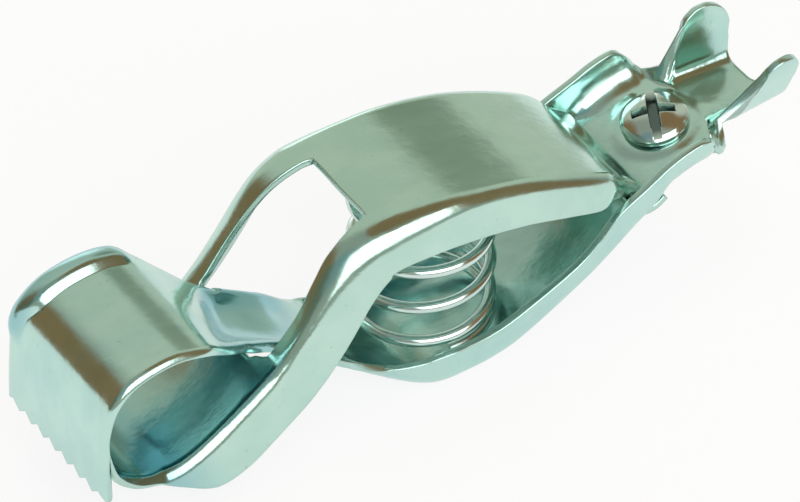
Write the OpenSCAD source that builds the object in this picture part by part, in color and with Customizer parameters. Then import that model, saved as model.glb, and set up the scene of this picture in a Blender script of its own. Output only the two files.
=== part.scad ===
// Spring clip for battery and test leads, pressed from two pieces of plated sheet steel.
// The two stampings hook together at the rear and cross over behind the jaws, so that
// squeezing the bowed handles against the spring between them opens the jaws.
// X runs from the jaws to the cable terminal, Y across the clip, Z up. The clip rests on
// the flat of its belly at Z = 0. Sizes are in millimetres.

/* [Overall] */
// Distance from the front of the jaws to the hinge
reach = 61.6; // [48:0.1:76]
// Height of the bowed handle above the belly
grip_h = 23.5; // [19:0.1:28]
// Width across the handles
handle_w = 17; // [14:0.1:22]
// Thickness of the sheet steel
sheet_t = 0.8; // [0.5:0.05:1.1]

/* [Jaws] */
// Width across the upper jaw
jaw_w = 17.6; // [14:0.1:22]
// Depth of the rolled side edges of the upper jaw
jaw_roll = 1.9; // [1.2:0.1:2.6]
// Number of teeth along the bite edge
teeth = 8; // [4:1:14]
// Depth of the teeth
tooth_h = 0.9; // [0.4:0.1:1.4]
// Gap between the front plate and the lower jaw's lip behind it
lip_gap = 0.4; // [0.2:0.05:1]

/* [Handles] */
// Depth of the side flanges under the bowed handle
flange_h = 3.8; // [2.6:0.1:5]
// Depth of the crossing arms that reach down to the lower jaw
arm_h = 4.4; // [3:0.1:5.5]
// Height of the side flanges on the belly handle
belly_flange_h = 4.1; // [3:0.1:5]
// Outward lean of the upper handle's flanges, in degrees
upper_flare = 17; // [0:1:25]
// Outward lean of the belly handle's flanges, in degrees
lower_flare = 8; // [0:1:15]
// Radius of the long bends, to the middle of the sheet
bend_r = 1.2; // [0.8:0.05:1.8]
// Half width of the window in the bowed handle at its rear edge
window_half = 4.9; // [3.5:0.1:6]
// Width of the neck that rises through the window
neck_w = 10; // [7:0.1:11]

/* [Spring] */
// Diameter of the spring wire
wire_d = 1.2; // [0.8:0.05:1.6]
// Diameter of the spring, to the middle of the wire
coil_d = 13.3; // [10:0.1:14]
// Turns of the spring, the two closed end turns included
turns = 5.25; // [4:0.05:7]
// Clear gap between the turns of each closed end
end_gap = 0.45; // [0.42:0.01:0.8]

/* [Terminal] */
// Length of the terminal floor behind the hinge
terminal_l = 17.2; // [13:0.1:22]
// Width of the terminal floor where the wire ears start
tail_w = 9.2; // [8:0.1:12]
// Width of the terminal floor at its rear edge
tail_end_w = 8.4; // [6:0.1:12]
// Diameter of the screw head
head_d = 6.9; // [5.5:0.1:8.5]
// Thickness of the screw head at its middle
head_h = 1.9; // [1.4:0.1:2.8]
// Width of the slot across the screw head
slot_w = 0.9; // [0.6:0.05:1.2]
// Depth of the slot at the middle of the head
slot_depth = 1.05; // [0.5:0.05:1.2]
// Depth of the cross recess at the middle of the head
cross_depth = 1.4; // [0.9:0.05:1.6]
// Turn of the slot from the length of the clip, in degrees
recess_turn = 62; // [0:1:180]
// Diameter of the screw shank
shank_d = 3.4; // [2.4:0.1:4]
// Length of the screw under its head
screw_l = 7; // [4:0.1:9]
// Clearance round the screw shank
screw_gap = 0.05; // [0.03:0.01:0.09]
// Greatest length of each wire ear
ear_l = 7.5; // [5:0.1:9]
// Height of the wire ears, measured up their slope
ear_h = 7; // [4.5:0.1:8]
// Outward lean of the wire ears, in degrees
ear_lean = 9; // [0:1:60]

/* [Hinge] */
// Width of each hooked tab
tab_w = 4.4; // [3:0.1:5]
// Clearance round the tabs in their slots
tab_gap = 0.25; // [0.15:0.05:0.4]

/* [Hidden] */

lx = reach / 61.6;            // stretch of the drawn length
lz = grip_h / 23.5;           // stretch of the drawn height
half_w = handle_w / 2;
half_j = jaw_w / 2;
half_n = neck_w / 2;
half_b = half_w - 0.5;        // half width of the belly at its bends, inside the flared edges
fit_w = half_w - sheet_t;     // half width that nests between the belly flanges
half_t = tail_w / 2;
half_e = tail_end_w / 2;
hinge_x = reach;
hinge_z = 10.2 * lz;
spring_x = 40.3 * lx;
coil_r = coil_d / 2;
screw_x = hinge_x + 6.2;
floor_end = hinge_x + terminal_l;

// Sections of the lower handle, from the bite edge of the upper jaw back to the rear of
// the terminal: x, z, half width, flange (below zero turned down, above zero turned up).
lower_rows = [
    [-0.7 * lx, 6.4 * lz, half_j, -0.25],
    [-0.7 * lx, 10.5 * lz, half_j - 0.1, -0.5],
    [-0.5 * lx, 14.4 * lz, half_j - 0.1, -0.8 * jaw_roll],
    [0.6 * lx, 17.8 * lz, half_j, -1.1 * jaw_roll],
    [3.1 * lx, 19.8 * lz, half_j, -1.2 * jaw_roll],
    [7.2 * lx, 20.4 * lz, half_j, -jaw_roll],
    [10.9 * lx, 19.3 * lz, half_j - 0.4, -0.8 * jaw_roll],
    [14.2 * lx, 16.5 * lz, half_n + 1.7, -0.6 * jaw_roll],
    [16.3 * lx, 14.85 * lz, half_n + 1.1, -0.6 * jaw_roll],
    [17.5 * lx, 13.95 * lz, half_n + 0.8, -1.1 * jaw_roll],
    [18.6 * lx, 13.2 * lz, half_n + 0.1, -0.8],
    [24 * lx, 9.7 * lz, half_n, -0.4],
    [27.6 * lx, 6.5 * lz, half_n + 0.3, -0.2],
    [29.4 * lx, 4.9 * lz, half_w - 2.7, 0.25],
    [32 * lx, 2.9 * lz, half_w - 2, 0.24 * belly_flange_h],
    [34.4 * lx, 1.5 * lz, half_b - 0.8, 0.55 * belly_flange_h],
    [36 * lx, 0.85 * lz, half_b - 0.3, 0.8 * belly_flange_h],
    [37.8 * lx, 0.45, half_b, 0.94 * belly_flange_h],
    [40.3 * lx, 0.33, half_b, 0.95 * belly_flange_h],
    [43.6 * lx, 0.5, half_b, 0.95 * belly_flange_h],
    [47.2 * lx, 1.5 * lz, half_b, 0.92 * belly_flange_h],
    [53.9 * lx, 4.9 * lz, half_b, 0.75 * belly_flange_h],
    [57.3 * lx, 7.1 * lz, half_b, 0.8 * belly_flange_h],
    [hinge_x - 1.6, hinge_z - 1.1, half_b, 0.95 * belly_flange_h],
    [hinge_x + 1.6, hinge_z + 0.9, half_b, 0.85 * belly_flange_h],
    [hinge_x + 5.2, hinge_z + 2.2, half_b, 0.9 * belly_flange_h],
    [hinge_x + 7.4, hinge_z + 2.6, half_b, 0.8 * belly_flange_h],
    [hinge_x + 8.6, hinge_z + 2.75, half_b - 0.1, 0.25 * belly_flange_h],
    [hinge_x + 9.4, hinge_z + 2.85, half_b - 1.1, 0.3],
    [hinge_x + 10.2, hinge_z + 2.93, half_t + 0.6, 0.12],
    [hinge_x + 11, hinge_z + 2.97, half_t + 0.1, 0.1],
    [hinge_x + 12, hinge_z + 2.98, half_t, 0.1],
    [floor_end, hinge_z + 2.95, half_e, 0.1]
];

// Sections of the upper handle, from the lip of the lower jaw back to the hinge:
// x, z, half width, flange, half width of the window.
lip_x = sheet_t + lip_gap - 0.5 * lx;
upper_rows = [
    [lip_x, 12.4 * lz, half_w - 1.7, -0.3, 3],
    [lip_x + 0.1, 10 * lz, half_w - 1.4, -0.3, 3],
    [lip_x + 0.7, 7.7 * lz, half_w - 0.8, -0.35, 3],
    [3.3 * lx, 6 * lz, half_w - 0.5, -0.4, 3],
    [5.6 * lx, 5.4 * lz, half_w - 0.3, -0.6, 3],
    [7.6 * lx, 5.4 * lz, half_w - 0.1, -0.4 * arm_h, 3],
    [9.5 * lx, 6 * lz, half_w, -0.85 * arm_h, 3.5],
    [12.1 * lx, 7.3 * lz, half_w, -arm_h, 4.2],
    [14.9 * lx, 9.1 * lz, half_w, -arm_h, 5],
    [18 * lx, 11.3 * lz, half_w, -arm_h, half_n + 1.2],
    [20.1 * lx, 13.3 * lz, half_w, -arm_h, half_n + 1],
    [22.3 * lx, 16 * lz, half_w, -arm_h, half_n + 1.2],
    [24.6 * lx, 19.1 * lz, half_w, -arm_h, half_n + 0.8],
    [26.6 * lx, 21.2 * lz, half_w, -arm_h, window_half + 0.5],
    [28.9 * lx, 22.5 * lz, half_w, -0.95 * arm_h, window_half + 0.1],
    [31.1 * lx, 23 * lz, half_w, -flange_h, window_half - 0.3],
    [36 * lx, 23.1 * lz, half_w, -flange_h, 3],
    [41 * lx, 22.7 * lz, half_w, -flange_h, 3],
    [47 * lx, 21.2 * lz, half_w, -0.94 * flange_h, 3],
    [52.5 * lx, 18.9 * lz, half_w - 0.1, -0.84 * flange_h, 3],
    [hinge_x - 4.6, hinge_z + 6.3, half_w - 0.5, -0.7 * flange_h, 3],
    [hinge_x - 2.6, hinge_z + 4.4, fit_w - 0.35, -0.35 * flange_h, 3],
    [hinge_x - 1.2, hinge_z + 3.3, fit_w - 0.6, -0.15 * flange_h, 3],
    [hinge_x - 0.3, hinge_z + 2.5, fit_w - 0.7, -0.5, 3],
    [hinge_x + 0.1, hinge_z + 1.6, fit_w - 1.3, -0.3, 3]
];
window_rows = [9, 15];        // rows between which the window is cut

// Smooth curve through rows b and c, at the share t of the way between them.
function blend(a, b, c, d, t) =
    0.5 * (2 * b + (c - a) * t + (2 * a - 5 * b + 4 * c - d) * t * t
           + (3 * b - a - 3 * c + d) * t * t * t);
function pick(list, i) = list[min(max(i, 0), len(list) - 1)];
function drawn(rows, n) = concat(
    [for (i = [0:len(rows) - 2], k = [0:n - 1])
        blend(pick(rows, i - 1), rows[i], rows[i + 1], pick(rows, i + 2), k / n)],
    [rows[len(rows) - 1]]);
function unit(v) = v / norm(v);

// Half of one section, from the flange edge to the window line, as [y, depth] pairs.
// depth is along the section's normal, and every section has the same number of points.
arc_n = 4;
function half_section(w, h, g, flare) =
    let (a = abs(h) < bend_r * (1 - sin(flare)) ? acos(1 - abs(h) / bend_r) : 90 - flare,
         side = h < 0 ? -1 : 1,
         straight = max(abs(h) - bend_r * (1 - cos(a)), 0) / sin(a) + 0.15,
         flat = w - sheet_t / 2 - bend_r * sin(a))
    concat([[flat + bend_r * sin(a) + straight * cos(a),
             side * (bend_r * (1 - cos(a)) + straight * sin(a))]],
           [for (k = [0:arc_n]) let (p = a * (1 - k / arc_n))
               [flat + bend_r * sin(p), side * bend_r * (1 - cos(p))]],
           [[min(g, flat - 0.3), 0]]);

// Points of one whole section, placed on its profile point p with the normal n.
function section(p, n, s) =
    let (m = len(s) - 1)
    concat([for (q = s) [p[0] + n[0] * q[1], -q[0], p[1] + n[1] * q[1]]],
           [for (k = [m:-1:0]) [p[0] + n[0] * s[k][1], s[k][0], p[1] + n[1] * s[k][1]]]);

// Middle surface of a stamping, as a list of sections.
function middle(rows, flare, n) =
    let (d = drawn(rows, n))
    [for (i = [0:len(d) - 1])
        let (t = unit([pick(d, i + 1)[0] - pick(d, i - 1)[0],
                       pick(d, i + 1)[1] - pick(d, i - 1)[1]]),
             g = len(d[i]) > 4 ? d[i][4] : d[i][2] / 2)
        section([d[i][0], d[i][1]], [-t[1], t[0]], half_section(d[i][2], d[i][3], g, flare))];

// Sheet steel on both sides of a middle surface, open from one section to another.
module sheet(m, open_from, open_to) {
    nu = len(m);
    nv = len(m[0]);
    mid = nv / 2 - 1;
    across = [for (i = [0:nu - 1]) [for (j = [0:nv - 1])
        unit(cross(pick(m, i + 1)[j] - pick(m, i - 1)[j], pick(m[i], j + 1) - pick(m[i], j - 1)))]];
    skin = [for (s = [1, -1], i = [0:nu - 1], j = [0:nv - 1])
        m[i][j] + s * across[i][j] * sheet_t / 2];
    function live(i, j) = i >= 0 && i < nu - 1 && j >= 0 && j < nv - 1
        && !(j == mid && i >= open_from && i < open_to);
    function at(i, j, s) = s * nu * nv + i * nv + j;
    function wall(i, j, k, l) = [[at(i, j, 0), at(k, l, 0), at(k, l, 1)],
                                 [at(i, j, 0), at(k, l, 1), at(i, j, 1)]];
    faces = [for (i = [0:nu - 2], j = [0:nv - 2]) if (live(i, j)) each concat(
        [[at(i, j, 0), at(i, j + 1, 0), at(i + 1, j + 1, 0)],
         [at(i, j, 0), at(i + 1, j + 1, 0), at(i + 1, j, 0)],
         [at(i, j, 1), at(i + 1, j + 1, 1), at(i, j + 1, 1)],
         [at(i, j, 1), at(i + 1, j, 1), at(i + 1, j + 1, 1)]],
        live(i - 1, j) ? [] : wall(i, j + 1, i, j),
        live(i + 1, j) ? [] : wall(i + 1, j, i + 1, j + 1),
        live(i, j - 1) ? [] : wall(i, j, i + 1, j),
        live(i, j + 1) ? [] : wall(i + 1, j + 1, i, j + 1))];
    polyhedron(points = skin, faces = faces, convexity = 12);
}

lower_mid = middle(lower_rows, lower_flare, 3);
upper_mid = middle(upper_rows, upper_flare, 3);

// Height of a stamping's middle line at x, behind the jaws.
function height_at(rows, x) =
    lookup(x, [for (r = drawn(rows, 3)) if (r[0] > 4) [r[0], r[1]]]);
function slope_at(rows, x) =
    atan(height_at(rows, x + 0.5) - height_at(rows, x - 0.5));

// Saw teeth along an edge of the given width, as a cutting outline below the tips.
module saw(width, n) {
    pitch = width / n;
    polygon(concat([[-width / 2 - 1, -2]],
                   [for (i = [0:n]) each [[-width / 2 + i * pitch, 0],
                                          [-width / 2 + (i + 0.5) * pitch, tooth_h]]],
                   [[width / 2 + 1, 0], [width / 2 + 1, -2]]));
}

// Place on the terminal floor under the screw, square to it, at the middle of the sheet.
module at_screw() {
    translate([screw_x, 0, height_at(lower_rows, screw_x)])
        rotate([0, -slope_at(lower_rows, screw_x), 0]) children();
}
boss_top = sheet_t / 2 + 0.2;

// Frame of one wire ear: its base line runs back along the floor's edge, and the ear
// leans outward.
ear_base = 6.9;               // length of the base line
ear_x = floor_end - ear_base;
ear_in = 0.35;                // from the floor's edge to the middle of the ear's sheet
ear_from = [ear_x, half_t - ear_in, height_at(lower_rows, ear_x)];
ear_to = [floor_end - 0.1, half_e - ear_in, height_at(lower_rows, floor_end - 0.1)];
ear_b = unit(ear_to - ear_from);
ear_out = unit([-ear_b[1], ear_b[0], 0]);
ear_up = cos(ear_lean) * cross(ear_b, ear_out) + sin(ear_lean) * ear_out;
ear_n = cross(ear_b, ear_up);

module wire_ear() {
    tip_r = 0.36 * ear_l;
    tip = [ear_l - tip_r, ear_h - tip_r];
    multmatrix([[ear_b[0], ear_up[0], ear_n[0], ear_from[0]],
                [ear_b[1], ear_up[1], ear_n[1], ear_from[1]],
                [ear_b[2], ear_up[2], ear_n[2], ear_from[2]],
                [0, 0, 0, 1]])
        translate([0, 0, -sheet_t / 2]) linear_extrude(sheet_t)
            polygon(concat([[0.2, -0.1], [0, 0.1]],
                           [for (a = [155:-15:-10]) tip + tip_r * [cos(a), sin(a)]],
                           [[ear_base - 0.5, 0.1], [ear_base - 0.7, -0.1]]));
}

// Ribbon of sheet along a path in X and Z, as an outline.
function ribbon(path, t) =
    let (m = len(path) - 1,
         n = [for (i = [0:m]) let (d = unit(pick(path, i + 1) - pick(path, i - 1))) [-d[1], d[0]]])
    concat([for (i = [0:m]) path[i] + n[i] * t / 2], [for (i = [m:-1:0]) path[i] - n[i] * t / 2]);

// The rear edge of the upper handle turns down in two tabs, through two slots.
tab_y = 1.6 + tab_w / 2;
tab_path = drawn([
    [hinge_x - 0.3, hinge_z + 2.5],
    [hinge_x + 0.1, hinge_z + 1.6],
    [hinge_x + 0.1, hinge_z],
    [hinge_x + 0.2, hinge_z - 0.9],
    [hinge_x + 0.9, hinge_z - 1.5],
    [hinge_x + 2.1, hinge_z - 1.4],
    [hinge_x + 3.1, hinge_z - 0.8]
], 4);

module tabs() {
    for (side = [-1, 1])
        translate([0, side * tab_y + tab_w / 2, 0]) rotate([90, 0, 0])
            linear_extrude(tab_w) polygon(ribbon(tab_path, sheet_t));
}

module tab_slots() {
    for (side = [-1, 1])
        translate([hinge_x + 0.1 - sheet_t / 2 - tab_gap, side * tab_y - tab_w / 2 - tab_gap, hinge_z - 3])
            cube([sheet_t + 2 * tab_gap + 0.3, tab_w + 2 * tab_gap, 6]);
}

module lower_handle() placed() {
    color([0.66, 0.78, 0.72])
    difference() {
        union() {
            sheet(lower_mid, -1, -1);
            for (side = [0, 1]) mirror([0, side, 0]) wire_ear();
            at_screw() {
                translate([0, 0, -sheet_t / 4])
                    cylinder(h = sheet_t / 4 + boss_top, d = head_d + 1.4, $fn = 64);
                translate([0, 0, -sheet_t / 2 - 1.3]) cylinder(h = 1.6, d = shank_d + 1.8, $fn = 48);
            }
        }
        at_screw() translate([0, 0, -4]) cylinder(h = 8, r = shank_d / 2 + screw_gap, $fn = 48);
        tab_slots();
        translate([-4, 0, 6.4 * lz + 0.05]) rotate([90, 0, 90]) linear_extrude(6) saw(jaw_w, teeth);
        translate([spring_x - 12, -half_w, -2]) cube([24, handle_w, 2]);
    }
}

module upper_handle() placed() {
    color([0.68, 0.8, 0.72])
    union() {
        sheet(upper_mid, window_rows[0] * 3, window_rows[1] * 3);
        tabs();
    }
}

// The spring stands between the handles on its closed end turns. One that is too wide to
// go in between the flanges of a handle rests on their edges.
wire_r = wire_d / 2;
spring_r = coil_r + wire_r;
foot_seat = spring_r < half_b - 0.6
    ? max(height_at(lower_rows, spring_x - coil_r), height_at(lower_rows, spring_x + coil_r))
        + 0.55 * sheet_t
    : height_at(lower_rows, spring_x + 0.5 * coil_r) + 1.05 * belly_flange_h + 0.2;
foot_z = foot_seat + wire_r + 0.25;
head_drop = spring_r < half_w - 0.7 ? 0.55 * sheet_t : flange_h - 0.6;
head_front = height_at(upper_rows, spring_x - coil_r) - head_drop - wire_r - 0.25;
head_rear = height_at(upper_rows, spring_x + spring_r) - head_drop - wire_r - 0.3;
top_z = (head_front + head_rear) / 2;
top_tilt = (head_rear - head_front) / coil_d;
end_rise = wire_d + end_gap;
live_rise = (top_z - foot_z - 2 * end_rise) / (turns - 2);
first_angle = -100;
rings = 8;
sides = 6;

// Height of the wire after u turns, before the top end tilts with the handle.
function rise(u) =
    u < 1 ? end_rise * u
    : u < turns - 1 ? end_rise + live_rise * (u - 1)
    : end_rise + live_rise * (turns - 2) + end_rise * (u - turns + 1);
function wire_at(u) =
    let (a = first_angle + 360 * u, x = coil_r * cos(a), y = coil_r * sin(a),
         share = min(1, max(0, u - 1) / (turns - 2)))
    [spring_x + x, y, foot_z + rise(u) + top_tilt * x * share];

steps = ceil(turns * rings);
wire = [for (i = [0:steps]) wire_at(turns * i / steps)];
spring_gap = min([for (i = [0:steps], j = [i + rings - 2:steps]) if (j <= i + rings + 2)
    norm(wire[i] - wire[j])]) - wire_d;
echo(least_gap_of_the_spring_to_itself = spring_gap);

module coil_spring() placed() {
    ring = [for (i = [0:steps])
        let (t = unit(pick(wire, i + 1) - pick(wire, i - 1)),
             out = unit(cross(cross(t, [wire[i][0] - spring_x, wire[i][1], 0]), t)),
             up = cross(t, out))
        [for (k = [0:sides - 1]) let (a = 360 * k / sides)
            wire[i] + wire_r * (cos(a) * out + sin(a) * up)]];
    skin = [for (i = [0:steps - 1], k = [0:sides - 1])
        let (a = i * sides + k, b = i * sides + (k + 1) % sides)
        each [[a, a + sides, b + sides], [a, b + sides, b]]];
    caps = [[for (k = [0:sides - 1]) k], [for (k = [sides - 1:-1:0]) steps * sides + k]];
    color([0.82, 0.86, 0.85])
    polyhedron(points = [for (r = ring) each r], faces = concat(skin, caps), convexity = 10);
}

module terminal_screw() placed() {
    dome_r = (pow(head_d / 2, 2) + pow(head_h - 0.7, 2)) / (2 * (head_h - 0.7));
    color([0.8, 0.83, 0.8])
    at_screw() translate([0, 0, boss_top + 0.02]) {
        difference() {
            rotate_extrude($fn = 64) difference() {
                union() {
                    square([head_d / 2, 0.7]);
                    intersection() {
                        translate([0, head_h - dome_r]) circle(r = dome_r, $fn = 180);
                        translate([0, 0.6]) square([head_d / 2, head_h]);
                    }
                }
                translate([-head_d, -1]) square([head_d, 2 * head_h + 2]);
            }
            rotate([0, 0, recess_turn]) {
                translate([-head_d / 2 - 1, -slot_w / 2, head_h - slot_depth])
                    cube([head_d + 2, slot_w, 2]);
                for (turn = [0, 90]) rotate([0, 0, turn])
                    translate([-0.3 * head_d, -slot_w / 2 - 0.05, head_h - cross_depth])
                        cube([0.6 * head_d, slot_w + 0.1, 2]);
            }
        }
        translate([0, 0, -screw_l]) cylinder(h = screw_l + 0.1, d = shank_d, $fn = 48);
        translate([0, 0, -screw_l - 0.5]) cylinder(h = 0.5, d1 = shank_d - 1, d2 = shank_d, $fn = 48);
    }
}

// The origin is on the resting face of the belly, under the middle of the spring.
module placed() {
    translate([-spring_x, 0, 0]) children();
}

lower_handle();
upper_handle();
coil_spring();
terminal_screw();
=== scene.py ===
"""A spring battery clip, pressed from two pieces of bright plated sheet steel.

Each stamping is rebuilt from the sections of its CAD node in finer steps, with rounded
rims, a dished neck, a pressed seat, and ears that bend out of the terminal floor.
Lengths are in millimetres and x is measured from the front of the jaws. Every point goes
through place(), which moves it into the frame and turns it into metres.
"""
import math

import bmesh
import bpy
import numpy as np
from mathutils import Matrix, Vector

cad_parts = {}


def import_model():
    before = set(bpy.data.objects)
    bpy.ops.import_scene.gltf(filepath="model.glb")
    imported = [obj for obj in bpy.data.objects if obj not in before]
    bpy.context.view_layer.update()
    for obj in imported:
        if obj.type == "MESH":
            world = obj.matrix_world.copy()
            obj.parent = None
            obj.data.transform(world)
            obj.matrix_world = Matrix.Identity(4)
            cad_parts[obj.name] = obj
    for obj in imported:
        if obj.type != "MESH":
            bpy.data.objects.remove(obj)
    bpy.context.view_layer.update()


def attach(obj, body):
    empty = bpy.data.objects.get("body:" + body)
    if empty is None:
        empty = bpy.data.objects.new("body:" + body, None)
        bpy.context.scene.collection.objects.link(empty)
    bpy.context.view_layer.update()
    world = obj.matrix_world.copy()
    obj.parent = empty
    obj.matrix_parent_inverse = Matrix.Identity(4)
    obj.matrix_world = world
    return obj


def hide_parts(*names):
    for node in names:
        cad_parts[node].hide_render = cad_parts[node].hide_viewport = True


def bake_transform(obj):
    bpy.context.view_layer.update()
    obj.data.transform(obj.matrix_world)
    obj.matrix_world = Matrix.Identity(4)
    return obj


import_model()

# Sizes, as in the CAD
SHEET = 0.8
HINGE_X, HINGE_Z = 61.6, 10.2
SPRING_X = 40.3
FLOOR_END = HINGE_X + 17.2
HALF_W = 8.5                 # half width of the upper handle
HALF_B = 8.0                 # half width of the belly at its bends
HALF_J = 8.8                 # half width of the jaw
HALF_N = 5.0                 # half width of the neck
HALF_T, HALF_E = 4.6, 4.2    # half width of the terminal floor at the ears and at its end
FIT_W = HALF_W - SHEET
ROLL = 1.9                   # height of the jaw's rolled edge
TEETH, TOOTH_H = 8, 0.9
FLANGE_H, ARM_H, BELLY_H = 3.8, 4.4, 4.1
UPPER_FLARE, LOWER_FLARE = 17, 8
EAR_BASE = 6.9               # length of floor beside the ears
BEND_R = 1.2                 # bend radius, to the middle of the sheet
WINDOW = 4.9                 # half width of the window in the upper handle
TAB_IN, TAB_GAP = 1.6, 0.25  # inner edge of a tab, and its play in the slot
SLOT_X = (HINGE_X - 0.55, HINGE_X + 1.05)
RIM = 0.14                   # radius of the rounding along the cut edges
FLAT_EXTRA, MIN_EDGE = 0.15, 0.12  # added to a flange's flat part, and its least length
SEAM_W, SEAM_GAP = 0.16, 0.1  # the narrow column that keeps a bend's shading off the flat
STEP = 0.42                  # length of one row of faces along a stamping
SNAP = 0.25                  # a row this close to a mark, as a share of STEP, moves to it


def place(points):
    """Millimetres, with x from the front of the jaws, to metres in the frame."""
    return (np.asarray(points, float) - (SPRING_X, 0, 0)) * 0.001


def smooth(edge0, edge1, x):
    """0 up to edge0, 1 from edge1 on, with an S-curve between."""
    t = np.clip((np.asarray(x, float) - edge0) / (edge1 - edge0), 0, 1)
    return t * t * (3 - 2 * t)


# ---------------------------------------------------------------- sections
# x, z, half width, flange (below zero turned down), half width of the inner columns
LOWER = [
    (-0.7, 6.4, HALF_J, -0.25, 4.4),
    (-0.7, 10.5, HALF_J - 0.1, -0.5, 4.4),
    (-0.5, 14.4, HALF_J - 0.1, -0.8 * ROLL, 4.4),
    (0.6, 17.8, HALF_J, -1.1 * ROLL, 4.4),
    (3.1, 19.8, HALF_J, -1.2 * ROLL, 4.4),
    (7.2, 20.4, HALF_J, -ROLL, 4.4),
    (10.9, 19.4, HALF_J - 0.1, -0.9 * ROLL, 4),
    (14.2, 16.7, HALF_N + 2.3, -0.85 * ROLL, 3),
    (16.3, 14.85, HALF_N + 1.1, -0.95 * ROLL, 3),
    (17.5, 13.95, HALF_N + 0.8, -1.15 * ROLL, 2.8),
    (18.6, 13.2, HALF_N + 0.5, -1.15 * ROLL, 2.5),
    (20, 12.25, HALF_N + 0.2, -1.1 * ROLL, 2.5),
    (24, 9.7, HALF_N, -0.4, 2.5),
    (27.6, 6.5, HALF_N + 0.3, -0.2, 2.5),
    (29.4, 4.9, HALF_W - 2.7, 0.25, 2.5),
    (32, 2.9, HALF_W - 2, 0.24 * BELLY_H, 3),
    (34.4, 1.5, HALF_B - 0.8, 0.55 * BELLY_H, 3),
    (36, 0.85, HALF_B - 0.3, 0.8 * BELLY_H, 3),
    (37.8, 0.45, HALF_B, 0.94 * BELLY_H, 3),
    (40.3, 0.33, HALF_B, 0.95 * BELLY_H, 3),
    (43.6, 0.5, HALF_B, 0.95 * BELLY_H, 3),
    (47.2, 1.5, HALF_B, 0.92 * BELLY_H, 3),
    (53.9, 4.9, HALF_B, 0.75 * BELLY_H, 2),
    (57.3, 7.1, HALF_B, 0.8 * BELLY_H, TAB_IN - TAB_GAP),
    (HINGE_X - 1.6, HINGE_Z - 1.1, HALF_B, 0.95 * BELLY_H, TAB_IN - TAB_GAP),
    (HINGE_X + 1.6, HINGE_Z + 0.9, HALF_B, 0.85 * BELLY_H, TAB_IN - TAB_GAP),
    (HINGE_X + 5.2, HINGE_Z + 2.2, HALF_B, 0.9 * BELLY_H, 2.5),
    (HINGE_X + 7.4, HINGE_Z + 2.6, HALF_B, 0.8 * BELLY_H, 2.5),
    (HINGE_X + 8.6, HINGE_Z + 2.75, HALF_B - 0.5, 0.2 * BELLY_H, 2.5),
    (HINGE_X + 9.4, HINGE_Z + 2.85, HALF_B - 1.1, 0.3, 2),
    (HINGE_X + 10.2, HINGE_Z + 2.93, HALF_T + 0.6, 0.12, 1.6),
    (HINGE_X + 11, HINGE_Z + 2.97, HALF_T + 0.1, 0.1, 1.4),
    (HINGE_X + 12, HINGE_Z + 2.98, HALF_T, 0.1, 1.4),
    (FLOOR_END, HINGE_Z + 2.95, HALF_E, 0.1, 1.2),
]
LIP_X = 0.7
UPPER = [
    (LIP_X, 12.4, HALF_W - 1.7, -0.3, 3),
    (LIP_X + 0.1, 10, HALF_W - 1.4, -0.3, 3),
    (LIP_X + 0.7, 7.7, HALF_W - 0.8, -0.35, 3),
    (3.3, 6, HALF_W - 0.5, -0.4, 3),
    (5.6, 5.4, HALF_W - 0.3, -0.6, 3),
    (7.6, 5.4, HALF_W - 0.1, -0.4 * ARM_H, 3),
    (9.5, 6, HALF_W, -0.85 * ARM_H, 3.5),
    (12.1, 7.3, HALF_W, -ARM_H, 4.2),
    (14.9, 9.1, HALF_W, -ARM_H, 4),
    (18, 11.3, HALF_W, -ARM_H, HALF_N - 0.7),
    (19, 12.2, HALF_W, -ARM_H, HALF_N + 0.9),
    (20.1, 13.3, HALF_W, -ARM_H, HALF_N + 1.1),
    (22.3, 16, HALF_W, -ARM_H, HALF_N + 1.2),
    (24.6, 19.1, HALF_W, -ARM_H, HALF_N + 0.8),
    (26.6, 21.2, HALF_W, -ARM_H, WINDOW + 0.5),
    (28.9, 22.5, HALF_W, -0.95 * ARM_H, WINDOW + 0.1),
    (31.1, 23, HALF_W, -FLANGE_H, WINDOW - 0.3),
    (36, 23.1, HALF_W, -FLANGE_H, 3),
    (41, 22.7, HALF_W, -FLANGE_H, 3),
    (47, 21.2, HALF_W, -0.94 * FLANGE_H, 3),
    (52.5, 18.9, HALF_W - 0.1, -0.84 * FLANGE_H, 3),
    (HINGE_X - 4.6, HINGE_Z + 6.3, HALF_W - 0.5, -0.7 * FLANGE_H, 2.5),
    (HINGE_X - 2.6, HINGE_Z + 4.4, FIT_W - 0.35, -0.35 * FLANGE_H, TAB_IN),
    (HINGE_X - 1.2, HINGE_Z + 3.3, FIT_W - 0.6, -0.15 * FLANGE_H, TAB_IN),
    (HINGE_X - 0.3, HINGE_Z + 2.5, FIT_W - 0.7, -0.5, TAB_IN),
    (HINGE_X + 0.1, HINGE_Z + 1.6, FIT_W - 1.3, -0.3, TAB_IN),
]
TAB_TOP = HINGE_Z + 1.61     # the tabs are apart below here
TAB_END = 6.4                # half width that puts the outer edge of a tab at 6
TABS = [
    (HINGE_X + 0.1, HINGE_Z, TAB_END, -0.05, TAB_IN),
    (HINGE_X + 0.2, HINGE_Z - 0.9, TAB_END, -0.05, TAB_IN),
    (HINGE_X + 0.9, HINGE_Z - 1.5, TAB_END, -0.05, TAB_IN),
    (HINGE_X + 2.1, HINGE_Z - 1.4, TAB_END, -0.05, TAB_IN),
    (HINGE_X + 3.1, HINGE_Z - 0.8, TAB_END, -0.05, TAB_IN),
]
WINDOW_X = (18, 31.1)        # front and rear edge of the window
COLS = (5, 8, 1, 6, 4)       # columns: inner, flat, seam, bend, flange
HALF_COLS = sum(COLS)


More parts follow.
